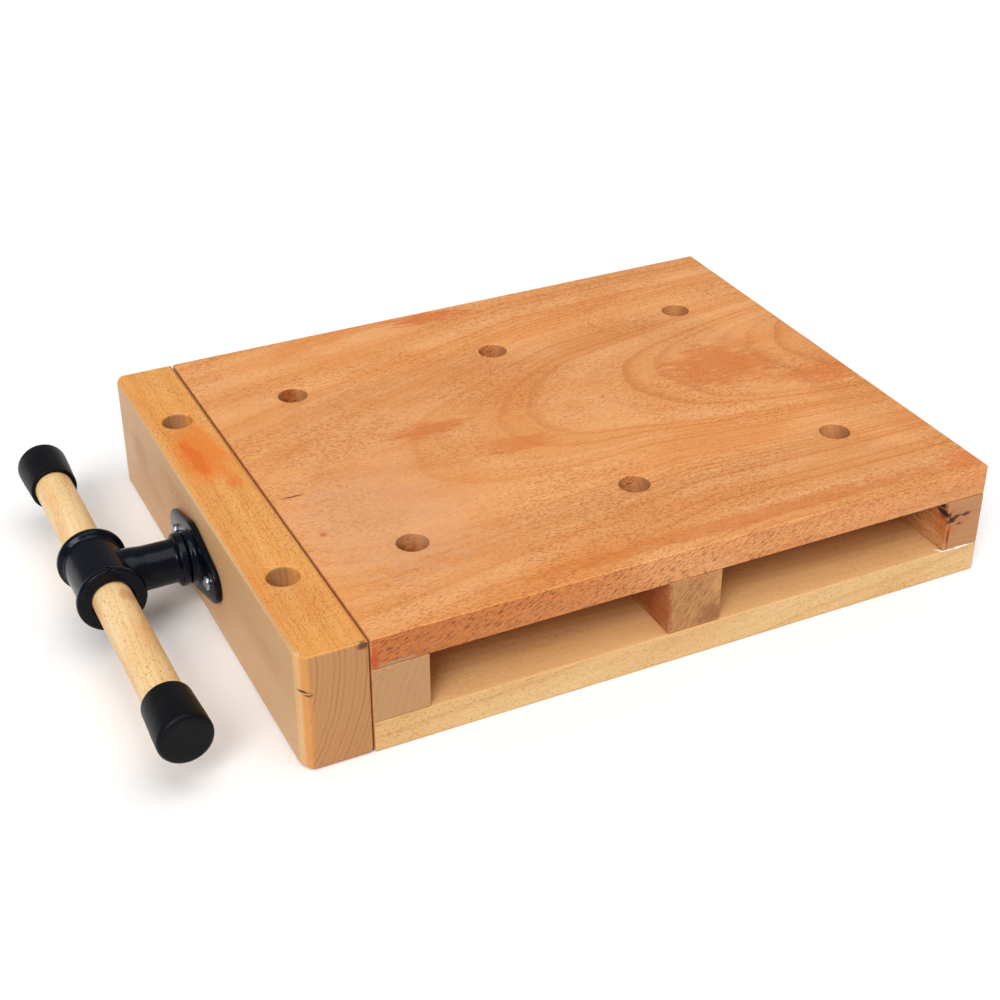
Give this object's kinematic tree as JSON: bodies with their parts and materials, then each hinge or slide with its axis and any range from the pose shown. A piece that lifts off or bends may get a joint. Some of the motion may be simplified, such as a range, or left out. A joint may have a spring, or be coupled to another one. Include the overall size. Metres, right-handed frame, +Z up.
{
  "type": "bench-top vise board",
  "caption": "Hollow beech clamping board with dog holes, open bays and a screw-driven front jaw on guide rods, turned by a wooden bar handle.",
  "frame": {"origin": "centre of the bottom board's underside", "axes": "+X from the jaw along the box, +Y from the open front to the back, +Z up"},
  "size_m": [0.532, 0.35, 0.076],
  "materials": {
    "oiled_top_beech": "oiled, orange-tan, grain along the box",
    "oiled_jaw_beech": "oiled, yellow-orange on top, paler outer face",
    "pale_beech": "bare, pale yellow",
    "grey_beech": "bare sawn ends, grey-tan",
    "turned_beech": "turned and lightly oiled",
    "black_casting": "gloss black paint over a casting",
    "black_rubber": "satin black rubber",
    "zinc_screws": "bright zinc plate",
    "bright_steel": "turned bright steel, oiled",
    "bronze": "sintered bronze"
  },
  "bodies": {
    "base": {"top_board": "oiled_top_beech", "bottom_board": "pale_beech", "left_spacer": "grey_beech", "middle_spacer": "grey_beech", "right_spacer": "grey_beech", "screw_nut": "black_casting", "nut_screw_front": "zinc_screws", "nut_screw_rear": "zinc_screws", "left_bush_front": "bronze", "left_bush_rear": "bronze", "middle_bush_front": "bronze", "middle_bush_rear": "bronze", "board_screw_left_front": "zinc_screws", "board_screw_left_rear": "zinc_screws", "board_screw_middle_front": "zinc_screws", "board_screw_middle_rear": "zinc_screws", "board_screw_right_front": "zinc_screws", "board_screw_right_rear": "zinc_screws"},
    "jaw": {"front_jaw": "oiled_jaw_beech", "flange_plate": "black_casting", "flange_screw_front": "zinc_screws", "flange_screw_rear": "zinc_screws", "guide_rod_front": "bright_steel", "guide_rod_rear": "bright_steel", "rod_pin_front": "bright_steel", "rod_pin_rear": "bright_steel"},
    "screw": {"vise_screw": "bright_steel", "thrust_washer": "bronze", "handle_hub": "black_casting", "hub_pin": "bright_steel", "hub_grub_screw": "black_casting"},
    "handle": {"handle_bar": "turned_beech", "handle_cap_front": "black_rubber", "handle_cap_rear": "black_rubber"}
  },
  "joints": [
    {"name": "jaw_slide", "type": "slide", "parent": "base", "child": "jaw", "axis": [-1, 0, 0], "range_m": [0, 0.12]},
    {"name": "screw_turn", "type": "hinge", "parent": "jaw", "child": "screw", "pos_m": [-0.306, 0, 0.038], "axis": [-1, 0, 0], "range_deg": [0, 10800]},
    {"name": "handle_slide", "type": "slide", "parent": "screw", "child": "handle", "axis": [0, 1, 0], "range_m": [-0.0875, 0.1055]}
  ],
  "couplings": [
    {"joint": "jaw_slide", "follows": "screw_turn", "m_per_rad": 0.0006366}
  ]
}
